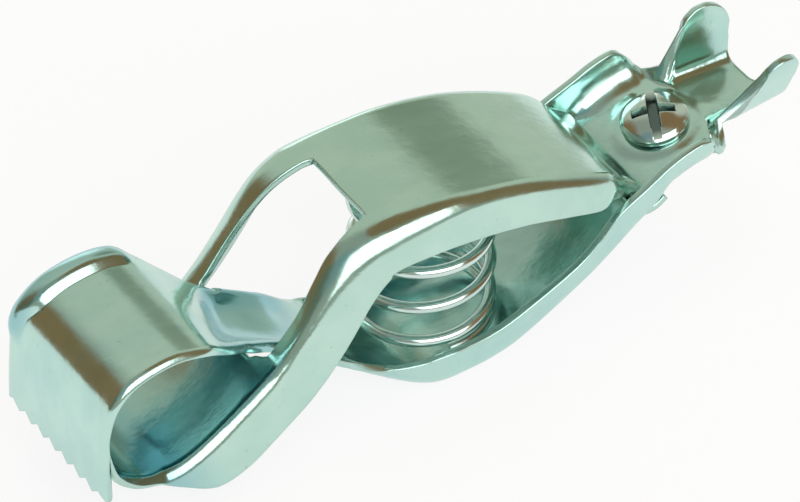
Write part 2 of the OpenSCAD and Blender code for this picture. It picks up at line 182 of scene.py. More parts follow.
def drawn(rows, marks=()):
    """Rows on a smooth curve through the given ones, with a row at each x in marks."""
    rows = np.array(rows, float)
    last = len(rows) - 1
    out = []
    for i in range(last):
        a, b, c, d = (rows[min(max(k, 0), last)] for k in (i - 1, i, i + 1, i + 2))
        n = max(2, round(math.hypot(*(c - b)[:2]) / STEP))
        for k in range(n):
            t = k / n
            out.append(0.5 * (2 * b + (c - a) * t + (2 * a - 5 * b + 4 * c - d) * t ** 2
                              + (3 * b - a - 3 * c + d) * t ** 3))
    out.append(rows[-1])
    for x in marks:
        i = next(k for k in range(len(out) - 2, -1, -1) if out[k][0] <= x)
        t = (x - out[i][0]) / (out[i + 1][0] - out[i][0])
        row = out[i] * (1 - t) + out[i + 1] * t
        if t < SNAP and i > 0:
            out[i] = row
        elif t > 1 - SNAP:
            out[i + 1] = row
        else:
            out.insert(i + 1, row)
    return np.array(out)


def run(rows, i):
    """Unit direction in x and z in which the sheet runs at row i."""
    way = rows[min(i + 1, len(rows) - 1)][:2] - rows[max(i - 1, 0)][:2]
    return way / np.hypot(*way)


def half_section(w, h, inner, flare, bend):
    """Across, from the middle to the flange's edge: [y, depth along the normal]."""
    full = math.radians(90 - flare)
    share = min(max(abs(h) / (bend * (1 - math.cos(full))), 0.02), 1)
    angle = full * share
    side = -1 if h < 0 else 1
    bent = bend * (1 - math.cos(angle))
    straight = max((abs(h) - bent) / math.sin(angle) + FLAT_EXTRA - RIM, MIN_EDGE)
    flat = w - SHEET / 2 - bend * math.sin(angle) - (1 - share) * straight * math.cos(angle)
    seam = flat - SEAM_W
    inner = min(inner, seam - SEAM_GAP)
    n_in, n_flat, _, n_bend, n_edge = COLS
    out = [(inner * k / n_in, 0) for k in range(n_in)]
    out += [(inner + (seam - inner) * k / n_flat, 0) for k in range(n_flat)]
    out += [(seam, 0)]
    for k in range(n_bend):
        p = angle * k / n_bend
        out.append((flat + bend * math.sin(p), side * bend * (1 - math.cos(p))))
    for k in range(n_edge + 1):
        s = straight * k / n_edge
        out.append((flat + bend * math.sin(angle) + s * math.cos(angle),
                    side * (bent + s * math.sin(angle))))
    return np.array(out)


def spread_evenly(section, share):
    """Moves a section's points towards even spacing along it."""
    length = np.r_[0, np.cumsum(np.hypot(*np.diff(section, axis=0).T))]
    even = np.linspace(0, length[-1], len(section))
    at = length * (1 - share) + even * share
    return np.stack([np.interp(at, length, section[:, k]) for k in (0, 1)], axis=1)


def middle(rows, flare, bends, far_extra=None, near_edge=None, even_rows=0):
    """Grid of points on the middle of the sheet: [row, column, xyz].

    bends has the bend radius of each row on the near and the far side, far_extra is how
    much further than the near side each row reaches on the far one, and near_edge is the
    flange of the near side where it differs.
    """
    grid = []
    for i, row in enumerate(rows):
        tangent = run(rows, i)
        halves = []
        for side in (0, 1):
            extra = far_extra[i] if side and far_extra is not None else 0
            flange = near_edge[i] if not side and near_edge is not None else row[3]
            half = half_section(row[2] + extra, flange, row[4], flare, bends[i, side])
            if i < even_rows:
                half = spread_evenly(half, 1 - smooth(0, even_rows, i))
            halves.append(half)
        near, far = halves
        y = np.r_[-near[:0:-1, 0], far[:, 0]]
        depth = np.r_[near[:0:-1, 1], far[:, 1]]
        grid.append(np.stack([row[0] - tangent[1] * depth, y,
                              row[1] + tangent[0] * depth], axis=1))
    return np.array(grid)


# ---------------------------------------------------------------- sheet from a grid
def face_normals(grid):
    """Normal of each face, as long as twice the face's area."""
    a = grid[1:, 1:] - grid[:-1, :-1]
    b = grid[1:, :-1] - grid[:-1, 1:]
    return np.cross(a, b)


def point_normals(grid, live):
    """Unit normal of each point, from the live faces round it."""
    total = np.zeros_like(grid)
    weighted = face_normals(grid) * live[..., None]
    for di in (0, 1):
        for dj in (0, 1):
            total[di:grid.shape[0] - 1 + di, dj:grid.shape[1] - 1 + dj] += weighted
    return total / np.maximum(np.linalg.norm(total, axis=2, keepdims=True), 1e-12)


def rim_edges(live):
    """Each edge between a live face and an empty place: its two corners and its face."""
    rows, cols = live.shape
    for i in range(rows):
        for j in range(cols):
            if not live[i, j]:
                continue
            for di, dj, a, b in ((-1, 0, (0, 0), (0, 1)), (1, 0, (1, 1), (1, 0)),
                                 (0, -1, (1, 0), (0, 0)), (0, 1, (0, 1), (1, 1))):
                k, l = i + di, j + dj
                if not (0 <= k < rows and 0 <= l < cols and live[k, l]):
                    yield (i + a[0], j + a[1]), (i + b[0], j + b[1]), (i, j)


def outward(grid, normals, edges):
    """At each rim point, the direction that leaves the sheet along its surface."""
    total = {}
    for a, b, (i, j) in edges:
        centre = grid[i:i + 2, j:j + 2].reshape(4, 3).mean(axis=0)
        along = grid[b] - grid[a]
        way = np.cross(along, normals[a] + normals[b])
        if np.dot(way, (grid[a] + grid[b]) / 2 - centre) < 0:
            way = -way
        way = way / max(np.linalg.norm(way), 1e-12)
        for p in (a, b):
            total[p] = total.get(p, 0) + way
    return {p: v / max(np.linalg.norm(v), 1e-12) for p, v in total.items()}


def sheet_faces(live, edges, index):
    """Both skins, and the strips of the rim between them."""
    faces = []
    for i, j in np.argwhere(live):
        ring = [(i, j), (i, j + 1), (i + 1, j + 1), (i + 1, j)]
        faces.append([index[(*p, 1)] for p in ring])
        faces.append([index[(*p, -1)] for p in reversed(ring)])
    chain = [(1,), (1, 0), (1, 1), (-1, 1), (-1, 0), (-1,)]
    for a, b, _ in edges:
        for s, t in zip(chain, chain[1:]):
            faces.append([index[(*a, *s)], index[(*b, *s)], index[(*b, *t)],
                          index[(*a, *t)]])
    return faces


def sheet_object(name, grid, live, inside):
    """Sheet steel on both sides of the grid, closed by a rounded rim.

    inside holds the shares of painted shade at each point of the grid: above zero on the
    side that the normals point to, below zero on the other one.
    """
    normals = point_normals(grid, live)
    edges = list(rim_edges(live))
    away = outward(grid, normals, edges)
    used = np.zeros(grid.shape[:2], bool)
    for i, j in np.argwhere(live):
        used[i:i + 2, j:j + 2] = True
    points, wear, painted_shade, index = [], [], [], {}

    def add(key, point, value):
        index[key] = len(points)
        points.append(point)
        wear.append(value)
        painted_shade.append(max(0, *(inside[key[:2]] * key[2])) if value < 1 else 0)

    for i, j in np.argwhere(used):
        for side in (1, -1):
            add((i, j, side), grid[i, j] + side * normals[i, j] * SHEET / 2,
                0.5 if (i, j) in away else 0.0)
    for (i, j), way in away.items():
        for side in (1, -1):
            for k, turn in enumerate((math.radians(45), 0.0)):
                lift = SHEET / 2 - RIM + RIM * math.sin(turn)
                add((i, j, side, k), grid[i, j] + side * normals[i, j] * lift
                    + way * RIM * math.cos(turn), 1.0)
    mesh = bpy.data.meshes.new(name)
    mesh.from_pydata(place(points).tolist(), [], sheet_faces(live, edges, index))
    for layer, values in (("rim", wear), ("inside", painted_shade)):
        attribute = mesh.attributes.new(layer, "FLOAT", "POINT")
        attribute.data.foreach_set("value", np.array(values, np.float32))
    return finished(name, mesh)


def finished(name, mesh):
    """Links a new object for the mesh, with its faces turned outward and smooth."""
    bm = bmesh.new()
    bm.from_mesh(mesh)
    bmesh.ops.recalc_face_normals(bm, faces=bm.faces)
    for face in bm.faces:
        face.smooth = True
    bm.to_mesh(mesh)
    bm.free()
    mesh.update()
    obj = bpy.data.objects.new(name, mesh)
    bpy.context.scene.collection.objects.link(obj)
    return obj


def cut(obj, tool, operation):
    """Applies a boolean with the tool object, then removes the tool."""
    change = obj.modifiers.new(operation.lower(), "BOOLEAN")
    change.operation = operation
    change.solver = "EXACT"
    change.object = tool
    apply_modifiers(obj)
    bpy.data.objects.remove(tool)


def apply_modifiers(obj):
    """Gives the object its evaluated mesh in place of its modifiers."""
    graph = bpy.context.evaluated_depsgraph_get()
    mesh = bpy.data.meshes.new_from_object(obj.evaluated_get(graph))
    obj.modifiers.clear()
    obj.data = mesh


def lathe(name, profile, steps):
    """Solid of revolution round Z from (radius, height) pairs, in millimetres."""
    points, faces, rings = [], [], []
    for radius, height in profile:
        if radius < 1e-6:
            rings.append([len(points)] * steps)
            points.append((0, 0, height))
        else:
            rings.append(list(range(len(points), len(points) + steps)))
            points += [(radius * math.cos(2 * math.pi * k / steps),
                        radius * math.sin(2 * math.pi * k / steps), height)
                       for k in range(steps)]
    pairs = list(zip(rings, rings[1:]))
    if profile[0][0] > 1e-6:
        pairs.append((rings[-1], rings[0]))
    for lower, upper in pairs:
        for k in range(steps):
            n = (k + 1) % steps
            ring = [lower[k], lower[n], upper[n], upper[k]]
            faces.append(list(dict.fromkeys(ring)))
    mesh = bpy.data.meshes.new(name)
    mesh.from_pydata(points, [], [f for f in faces if len(f) > 2])
    return finished(name, mesh)


# ---------------------------------------------------------------- the terminal's screw
SCREW_X = HINGE_X + 6.2
SEAT_LIFT = 0.2              # height of the pressed seat under the head
lower_rows = drawn(LOWER, (*SLOT_X, FLOOR_END - EAR_BASE))


def floor_z(x):
    """Height of the lower handle's sheet at x, behind its front plate."""
    behind = lower_rows[lower_rows[:, 0] > 4]
    return float(np.interp(x, behind[:, 0], behind[:, 1]))


SCREW_TILT = math.atan(floor_z(SCREW_X + 0.5) - floor_z(SCREW_X - 0.5))
SEAT_TOP = SHEET / 2 + SEAT_LIFT


def at_screw(points):
    """Points round the screw's axis, from the middle of the sheet up, to mm."""
    points = np.asarray(points, float)
    c, s = math.cos(SCREW_TILT), math.sin(SCREW_TILT)
    return np.stack([SCREW_X + c * points[:, 0] - s * points[:, 2], points[:, 1],
                     floor_z(SCREW_X) + s * points[:, 0] + c * points[:, 2]], axis=1)


def seat(obj):
    """Moves a mesh drawn round the screw's axis into the frame."""
    points = np.array([v.co for v in obj.data.vertices])
    obj.data.vertices.foreach_set("co", place(at_screw(points)).ravel())
    obj.data.update()
    return obj


# ---------------------------------------------------------------- lower handle
TEETH_TOP = 10.5             # height at which the saw has faded into the front plate
CREASE_X, CREASE_SKEW = 14.8, 0.45   # where the neck's hollow begins, and its slant
DISH, DISH_EDGE = 1.25, 0.9  # depth of the hollow, and the flat border beside it
STEP_UP, STEP_Y, STEP_W = 0.85, 5.75, 1.1  # raised border of the jaw plate: its step
STEP_CORNER = 1.7            # how far the step swings out towards the front corner
DROOP = 1.1                  # fall of the border's edge, as a share of the step
SPUR_X = 19.6                # the far rolled edge is cut off here
NECK_END = 24                # the neck's edges are low between the cut and here
INNER_SIDE = 1               # the skin under the jaw is on the side of the normals


def with_teeth(grid, rows):
    """Saw teeth along the front row, easing out over the flat front plate."""
    pitch = 2 * HALF_COLS / TEETH
    column = np.arange(2 * HALF_COLS + 1)
    saw = TOOTH_H * (1 - np.abs((column / pitch) % 1 * 2 - 1))
    height = rows[:, 1]
    for i in np.flatnonzero((rows[:, 0] < 0) & (height < TEETH_TOP)):
        grid[i, :, 2] += saw * (TEETH_TOP - height[i]) / (TEETH_TOP - height[0])
    return grid


def stepped(grid, rows):
    """Along its far side the jaw plate steps up to a raised border."""
    n_in, last = COLS[0], HALF_COLS - COLS[3] - COLS[4]
    for i, row in enumerate(rows):
        # the border begins on the front bend and ends before the crease
        rise = STEP_UP * smooth(14, 17, row[1]) * (1 - smooth(9.8, 12, row[0]))
        if rise < 0.01:
            continue
        far = grid[i, HALF_COLS:]
        foot = STEP_Y + STEP_CORNER * (1 - smooth(16, 19.5, row[1])) - STEP_W / 2
        foot = min(foot, far[last, 1] - 0.2 - STEP_W)
        # the columns gather on the step, which is narrower than their usual spacing
        share = min(rise / STEP_UP * 2, 1)
        wanted = np.r_[np.linspace(0, foot - 0.2, n_in),
                       foot + np.linspace(0, STEP_W, last - n_in)]
        y = far[:, 1].copy()
        y[:last] = y[:last] * (1 - share) + wanted * share
        t = smooth(0, 1, (y - foot) / STEP_W)
        beyond = np.clip((y - foot - STEP_W) / (row[2] - foot - STEP_W), 0, 1)
        t -= DROOP * beyond ** 1.6
        tangent = run(rows, i)
        up = np.array([-tangent[1], 0, tangent[0]])
        far[:, 1] = y
        far += up * (rise * t)[:, None]
    return grid


def dished(grid, rows):
    """The neck is pressed hollow behind an oblique crease at the end of the jaw plate."""
    for i, row in enumerate(rows):
        if not 9 < row[0] < 31 or row[1] > 20.3:
            continue
        tangent = run(rows, i)
        down = np.array([tangent[1], 0, -tangent[0]])
        y = grid[i, :, 1]
        crease = CREASE_X + CREASE_SKEW * y
        hollow = np.clip(1 - np.abs(y / (row[2] - DISH_EDGE)) ** 2.6, 0, 1)
        depth = DISH * hollow * smooth(-0.4, 3.2, row[0] - crease)
        depth = depth * (1 - 0.7 * smooth(17, 24, row[0])) * (1 - smooth(25, 30, row[0]))
        grid[i] += down * depth[:, None]
    return grid


def raised_seat(grid):
    """The floor rises a little under the screw head."""
    local = grid - at_screw([(0, 0, 0)])[0]
    c, s = math.cos(SCREW_TILT), math.sin(SCREW_TILT)
    along = c * local[..., 0] + s * local[..., 2]
    above = -s * local[..., 0] + c * local[..., 2]
    radius = np.hypot(along, local[..., 1])
    lift = np.where(np.abs(above) < 1, SEAT_LIFT * (1 - smooth(3.5, 4.8, radius)), 0)
    grid[..., 0] -= s * lift
    grid[..., 2] += c * lift
    return grid


EAR_X = FLOOR_END - EAR_BASE
EAR_L, EAR_H, EAR_LEAN = 7.5, 7.0, 9
EAR_IN = 0.35                # from the floor's edge to the middle of the ear's sheet
EAR_BEND = 1.8               # length of sheet on each side of an ear's base in its bend
EAR_CLEAR = 0.45             # least half width of floor between the two ears' bends
EAR_RUN = 1.0                # length over which the floor's edge curls up to the ear
EAR_TIP = 0.36 * EAR_L       # radius of the ear's rounded top
# the near ear stands further back, is shorter, starts further in and leans further out
NEAR_BACK, NEAR_SHORT, NEAR_IN, NEAR_OUT = 1.2, 1.0, 0.25, 1.0


def ear_frame():
    """Start and direction of the far ear's base line, and the way up along the ear."""
    start = np.array([EAR_X, HALF_T - EAR_IN, floor_z(EAR_X)])
    end = np.array([FLOOR_END - 0.1, HALF_E - EAR_IN, floor_z(FLOOR_END - 0.1)])
    base = (end - start) / np.linalg.norm(end - start)
    out = np.array([-base[1], base[0], 0]) / math.hypot(base[0], base[1])
    lean = math.radians(EAR_LEAN)
    return start, base, math.cos(lean) * np.cross(base, out) + math.sin(lean) * out


def far_ear(row, s, start, base, up):
    """Across the floor from its middle, round the bend and up to the ear's outline."""
    foot = start + base * s
    inside = np.array([row[0], max(foot[1] - EAR_BEND, EAR_CLEAR), row[1]])
    turn = math.radians(155 - 170 * min(s / (FLOOR_END - EAR_X), 1))  # round the tip
    top = start + base * (EAR_L - EAR_TIP + EAR_TIP * math.cos(turn)) \
        + up * (EAR_H - EAR_TIP + EAR_TIP * math.sin(turn))
    first = foot + (top - foot) / np.linalg.norm(top - foot) * EAR_BEND
    centre = np.array([row[0], 0, row[1]])
    n_bend, n_edge = COLS[3:]
    n_floor = HALF_COLS - n_bend - n_edge
    points = [centre + (inside - centre) * k / n_floor for k in range(n_floor)]
    for k in range(n_bend):
        t = k / n_bend
        points.append(inside * (1 - t) ** 2 + foot * 2 * t * (1 - t) + first * t ** 2)
    points += [first + (top - first) * k / n_edge for k in range(n_edge + 1)]
    return np.array(points)


def near_ear(far, row, s):
    """The far side's points turned into the near ear's."""
    near = far * (1, -1, 1)
    share = smooth(0, HALF_COLS - COLS[4], np.arange(len(far)))
    height = np.clip((far[:, 2] - row[1]) / EAR_H, 0, 1)
    near[:, 0] += share * (NEAR_BACK + NEAR_SHORT * (1 - s / (FLOOR_END - EAR_X)))
    near[:, 1] += NEAR_IN * share - NEAR_OUT * height
    return near


def bent_ears(grid, rows):
    """The flanges of the last rows become the ears, which lean out of the floor."""
    start, base, up = ear_frame()
    for i, row in enumerate(rows):
        if row[0] < EAR_X - 0.01:
            curl = smooth(EAR_X - EAR_RUN, EAR_X, row[0])
            beyond = np.clip(np.abs(grid[i, :, 1]) - start[1] + EAR_BEND, 0, 2.4)
            grid[i, :, 2] += curl * beyond ** 2 / (2 * EAR_BEND)
            continue
        s = (row[0] - EAR_X) / base[0]
        far = far_ear(row, s, start, base, up)
        grid[i, HALF_COLS:] = far
        grid[i, HALF_COLS::-1] = near_ear(far, row, s)
    return grid


def lower_live(grid, rows):
    """Which faces are steel: all but the two slots and the cut at the far rolled edge."""
    live = np.ones((grid.shape[0] - 1, grid.shape[1] - 1), bool)
    column = np.arange(2 * HALF_COLS)
    from_middle = np.where(column < HALF_COLS, HALF_COLS - 1 - column, column - HALF_COLS)
    slot_cols = (from_middle >= COLS[0]) & (from_middle < COLS[0] + COLS[1])
    far_roll = column >= 2 * HALF_COLS - COLS[4] - COLS[3] + 2
    for i in range(len(rows) - 1):
        x = (rows[i, 0] + rows[i + 1, 0]) / 2
        if SLOT_X[0] < x < SLOT_X[1]:
            live[i, slot_cols] = False
        if rows[i, 0] < SPUR_X <= rows[i + 1, 0]:
            live[i, far_roll] = False
    return live


def lower_shape(rows):
    """Rows with the cut-off rolled edge, their bend radii and how their two sides differ."""
    x, z = rows[:, 0], rows[:, 1]
    on_jaw = (1 - smooth(11, 15, x)) * smooth(7, 14, z)
    on_terminal = smooth(HINGE_X + 0.6, HINGE_X + 3.4, x)
    # the near side of the jaw and the neck is hardly rolled
    flat_edge = np.maximum(smooth(7, 14, z) * (x < 12), smooth(9, 12, x))
    flat_edge *= 1 - smooth(20, 24.5, x)
    far_bend = BEND_R + 1.6 * on_terminal
    shaped = rows.copy()
    behind = (x > SPUR_X) & (x < NECK_END)
    shaped[behind, 3] = np.maximum(rows[behind, 3], -0.45)
    near_edge = shaped[:, 3] * (1 - flat_edge) - 0.3 * flat_edge
    bends = np.stack([far_bend - 0.75 * flat_edge, far_bend], axis=1)
    return shaped, bends, 0.2 * on_jaw, near_edge


def lower_painted_shade(grid, rows):
    """Painted shade. The jaw's underside is inside the clip; the other skins with painted
    shade face up: the neck's hollow, the belly and the far border, where it is a painted
    reflection.
    """
    x, z = rows[:, :1], rows[:, 1:2]
    y = grid[..., 1]
    jaw = (0.7 + 0.3 * smooth(2, 9, x)) * (1 - smooth(15, 19, x)) * smooth(7, 10, z)
    under = np.repeat(INNER_SIDE * jaw, grid.shape[1], axis=1)
    # painted reflection on the raised far border, painted shade in the neck's hollow and over
    # the belly
    border = (1 - smooth(10, 13, x)) * smooth(14, 17, z) * smooth(STEP_Y, STEP_Y + STEP_W, y)
    neck = smooth(0.4, 1.4, x - CREASE_X - CREASE_SKEW * y) * (x > 9) * (1 - smooth(25, 28, x))
    belly = smooth(28, 34, x) * (1 - smooth(56, 60, x)) * smooth(2, 6, y)
    over = 0.6 * border + (0.6 + 0.3 * smooth(0.5, 3, y)) * neck + 0.4 * belly
    return np.stack([under, -INNER_SIDE * over], axis=2)


BORE_R, BORE_END = 1.75, 4
COLLAR_SIDE = [(BORE_R, -0.2), (BORE_R, -1.62), (1.82, -1.7), (2.45, -1.7), (2.55, -1.6)]
COLLAR_TOP = (3.15, -0.2)
CURL_X, CURL_Z, CURL_R = 2.6, -0.95, 0.55    # fillet from the collar up to the sheet
ROUND_STEPS = 64
EVEN_ROWS = 11               # over the first rows the columns leave the teeth's even spacing


def lower_handle():
    """Toothed jaw, neck, belly and terminal in one sheet, with the screw's collar."""
    rows, bends, far_extra, near_edge = lower_shape(lower_rows)
    grid = middle(rows, LOWER_FLARE, bends, far_extra, near_edge, EVEN_ROWS)
    grid = stepped(with_teeth(grid, rows), rows)
    grid = raised_seat(bent_ears(dished(grid, rows), rows))
    obj = sheet_object("lower_stamping", grid, lower_live(grid, rows),
                       lower_painted_shade(grid, rows))
    bore = seat(lathe("bore", [(0, -BORE_END), (BORE_R, -BORE_END), (BORE_R, BORE_END),
                               (0, BORE_END)], ROUND_STEPS))
    curl = [(CURL_X + CURL_R * (1 - math.cos(a)), CURL_Z + CURL_R * math.sin(a))
            for a in np.linspace(0, math.pi / 2, 7)]
    collar = seat(lathe("collar", COLLAR_SIDE + curl + [COLLAR_TOP], ROUND_STEPS))
    cut(obj, bore, "DIFFERENCE")
    cut(obj, collar, "UNION")
    return obj


# ---------------------------------------------------------------- upper handle
ARM_LEAN, ARM_MIDDLE = 0.14, 6.5     # outward lean of the far arm, and where it turns
ARM_ROUND = 0.9                      # extra bend radius and reach of the far arm
SHOULDER_ROUND = 1.4                 # extra bend radius at the near shoulder
# share of painted shade on the upper skin of the lower jaw's lip
LIP_PAINTED_SHADE = 0.7


def upper_live(grid, rows):
    """Which faces are steel: all but the window and the space between the tabs."""
    front, rear = (np.argmin(np.abs(rows[:, 0] - edge)) for edge in WINDOW_X)
    tabs = next(i for i, r in enumerate(rows) if r[0] > HINGE_X - 1 and r[1] < TAB_TOP)
    live = np.ones((grid.shape[0] - 1, grid.shape[1] - 1), bool)
    column = np.arange(2 * HALF_COLS)
    inner = (column >= HALF_COLS - COLS[0]) & (column < HALF_COLS + COLS[0])
    for i in range(len(rows) - 1):
        if front <= i < rear or i >= tabs:
            live[i, inner] = False
    return live


def upper_handle():
    """Lower jaw, arms, bowed handle and tabs in one sheet."""
    rows = drawn(UPPER + TABS)
    x = rows[:, 0]
    # the near shoulder over the window's rear edge is rounder than the rest
    near_bend = BEND_R + SHOULDER_ROUND * (smooth(21, 27, x) - smooth(30, 42, x))
    on_arm = smooth(14, 20, x) * (1 - smooth(28, 36, x))
    bends = np.stack([near_bend, BEND_R + ARM_ROUND * on_arm], axis=1)
    grid = middle(rows, UPPER_FLARE, bends, ARM_ROUND * on_arm)
    # the far arm leans a little outwards
    y = grid[..., 1]
    grid[..., 2] -= ARM_LEAN * on_arm[:, None] * np.where(y > 0, y - ARM_MIDDLE, 0) \
        * smooth(0, WINDOW, y)
    # painted shade on the upper skin of the lip, inside the jaw
    lip = -LIP_PAINTED_SHADE * INNER_SIDE * (1 - smooth(6, 12, x))
    inside = np.repeat(lip[:, None], grid.shape[1], axis=1)
    return sheet_object("upper_stamping", grid, upper_live(grid, rows), inside[..., None])


# ---------------------------------------------------------------- spring
WIRE_R, COIL_R, TURNS = 0.6, 6.65, 5.25
FOOT_Z, TOP_Z, TOP_TILT = 3.188, 20.736, -0.1623   # the wire's middle at both ends
END_RISE = 2 * WIRE_R + 0.45                       # rise of a closed end turn
FIRST_ANGLE = -100
RINGS, SIDES = 72, 16        # rings of points in a turn, and points in a ring
CHAMFER, EASING = 0.12, 10


def wire_at(u):
    """Middle of the wire after u turns."""
    live = (TOP_Z - FOOT_Z - 2 * END_RISE) / (TURNS - 2)
    if u < 1:
        rise = END_RISE * u
    elif u < TURNS - 1:
        rise = END_RISE + live * (u - 1)
    else:
        rise = END_RISE + live * (TURNS - 2) + END_RISE * (u - TURNS + 1)
    a = math.radians(FIRST_ANGLE + 360 * u)
    x, y = COIL_R * math.cos(a), COIL_R * math.sin(a)
    share = min(1, max(0, u - 1) / (TURNS - 2))
    return np.array([SPRING_X + x, y, FOOT_Z + rise + TOP_TILT * x * share])


def coil_path():
    """Middle of the wire, with the pitch's corners at the closed turns eased."""
    count = math.ceil(TURNS * RINGS)
    path = np.array([wire_at(TURNS * i / count) for i in range(count + 1)])
    for _ in range(EASING):
        path[1:-1, 2] = (path[:-2, 2] + 2 * path[1:-1, 2] + path[2:, 2]) / 4
    return path


def tube_faces(count, sides):
    """Faces of a tube of count rings, with a flat cap on each end."""
    faces = []
    for r in range(count - 1):
        for k in range(sides):
            n = (k + 1) % sides
            faces.append([r * sides + k, r * sides + n, (r + 1) * sides + n,
                          (r + 1) * sides + k])
    faces.append(list(range(sides)))
    faces.append([(count - 1) * sides + k for k in range(sides)])
    return faces


def coil_spring():
    """Round wire with closed end turns and chamfered ends."""
    path = coil_path()
    last = len(path) - 1
    points = []
    rings = [(0, -1.0, WIRE_R - CHAMFER), (0, 0, WIRE_R)]
    rings += [(i, 0, WIRE_R) for i in range(1, last)]
    rings += [(last, 0, WIRE_R), (last, 1.0, WIRE_R - CHAMFER)]
    for i, cap, radius in rings:
        along = path[min(i + 1, last)] - path[max(i - 1, 0)]
        along /= np.linalg.norm(along)
        spoke = path[i] - (SPRING_X, 0, path[i][2])
        out = np.cross(np.cross(along, spoke), along)
        out /= np.linalg.norm(out)
        up = np.cross(along, out)
        for k in range(SIDES):
            a = 2 * math.pi * k / SIDES
            points.append(path[i] + along * cap * CHAMFER
                          + radius * (math.cos(a) * out + math.sin(a) * up))
    mesh = bpy.data.meshes.new("spring_coil")
    mesh.from_pydata(place(points).tolist(), [], tube_faces(len(rings), SIDES))
    return finished("spring_coil", mesh)


# ---------------------------------------------------------------- screw
HEAD_R, HEAD_H, HEAD_SIDE = 3.45, 1.9, 0.7
DOME_R = (HEAD_R ** 2 + (HEAD_H - HEAD_SIDE) ** 2) / (2 * (HEAD_H - HEAD_SIDE))
HEAD_EDGE, HEAD_FILLET, HEAD_GAP = 0.12, 0.35, 0.02  # lower edge, upper edge, off the seat
SHANK_R, SCREW_L = 1.7, 7.0
THREAD_PITCH, THREAD_H = 0.7, 0.22
SLOT_L, SLOT_W, SLOT_DEPTH, SLOT_TAPER = 8.4, 0.9, 1.05, 0.1
CROSS_L, CROSS_W, CROSS_DEPTH, CROSS_TAPER = 4.5, SLOT_W + 0.2, 1.4, 0.32
RECESS_TURN = 62
RECESS_R = 3.1               # the painted shade of the recess ends here, short of the rim
SOFTEN, SOFTEN_ANGLE = 0.07, math.radians(35)


def wedge(name, length, width, depth, taper):
    """Cutter for a recess: a block whose walls close in by taper towards its floor."""
    mesh = bpy.data.meshes.new(name)
    points = []
    for z, inset in ((HEAD_H - depth, taper), (HEAD_H + 1, -taper)):
        x, y = length / 2 - inset, width / 2 - inset * 0.35
        points += [(-x, -y, z), (x, -y, z), (x, y, z), (-x, y, z)]
    faces = [(3, 2, 1, 0), (4, 5, 6, 7)]
    faces += [(k, (k + 1) % 4, (k + 1) % 4 + 4, k + 4) for k in range(4)]
    mesh.from_pydata(points, [], faces)
    return finished(name, mesh)


def turned(obj, degrees):
    """Turns a mesh about the screw's axis."""
    c, s = math.cos(math.radians(degrees)), math.sin(math.radians(degrees))
    for v in obj.data.vertices:
        v.co = (c * v.co.x - s * v.co.y, s * v.co.x + c * v.co.y, v.co.z)
    return obj


def threaded_shank():
    """Shank with a rolled thread, from under the head to its chamfered tip."""
    steps, per_turn, root_z = 48, 10, 0.3
    count = round(SCREW_L / THREAD_PITCH * per_turn)
    points = []
    for i in range(count + 1):
        z = root_z - (SCREW_L + root_z) * i / count
        root = smooth(0.2, 0.9, -z) * (1 - smooth(SCREW_L - 0.9, SCREW_L, -z))
        chamfer = 0.5 * smooth(SCREW_L - 0.6, SCREW_L, -z)
        for k in range(steps):
            a = 2 * math.pi * k / steps
            phase = (z / THREAD_PITCH - k / steps) % 1
            groove = THREAD_H * min(1, 1.6 * (1 - abs(phase * 2 - 1))) * root
            r = SHANK_R - groove - chamfer
            points.append((r * math.cos(a), r * math.sin(a), z))
    mesh = bpy.data.meshes.new("shank")
    mesh.from_pydata(points, [], tube_faces(count + 1, steps))
    return finished("shank", mesh)


def pan_head():
    """Head with a domed top and softened edges, cut by a slot and a cross."""
    profile = [(0, 0), (HEAD_R - HEAD_EDGE, 0), (HEAD_R, HEAD_EDGE)]
    profile += [(HEAD_R - HEAD_FILLET * (1 - math.cos(a)),
                 HEAD_SIDE - 0.28 + HEAD_FILLET * math.sin(a))
                for a in np.linspace(0, math.radians(62), 6)]
    for r in np.linspace(profile[-1][0] - 0.1, 0, 14):
        profile.append((r, HEAD_H - DOME_R + math.sqrt(DOME_R ** 2 - r ** 2)))
    head = lathe("terminal_pan_screw", profile, 96)
    slot = wedge("slot", SLOT_L, SLOT_W, SLOT_DEPTH, SLOT_TAPER)
    cut(head, turned(slot, RECESS_TURN), "DIFFERENCE")
    for extra in (0, 90):
        cross = wedge("cross", CROSS_L, CROSS_W, CROSS_DEPTH, CROSS_TAPER)
        cut(head, turned(cross, RECESS_TURN + extra), "DIFFERENCE")
    soften = head.modifiers.new("soften", "BEVEL")
    soften.width, soften.segments = SOFTEN, 2
    soften.limit_method, soften.angle_limit = "ANGLE", SOFTEN_ANGLE
    apply_modifiers(head)
    return head


def terminal_screw():
    """Pan-head screw on its seat. The recess attribute paints shade into the cross and the
    slot.
    """
    screw = pan_head()
    cut(screw, threaded_shank(), "UNION")
    points = np.array([v.co for v in screw.data.vertices])
    radius = np.hypot(points[:, 0], points[:, 1])
    surface = HEAD_H - DOME_R + np.sqrt(DOME_R ** 2 - np.minimum(radius, 3.5) ** 2)
    sunk = smooth(0.1, 0.5, surface - points[:, 2])
    sunk = sunk * (radius < RECESS_R) * (points[:, 2] > 0.35)
    attribute = screw.data.attributes.new("recess", "FLOAT", "POINT")
    attribute.data.foreach_set("value", sunk.astype(np.float32))
    points[:, 2] += SEAT_TOP + HEAD_GAP
    screw.data.vertices.foreach_set("co", place(at_screw(points)).ravel())
    screw.data.update()
    return screw


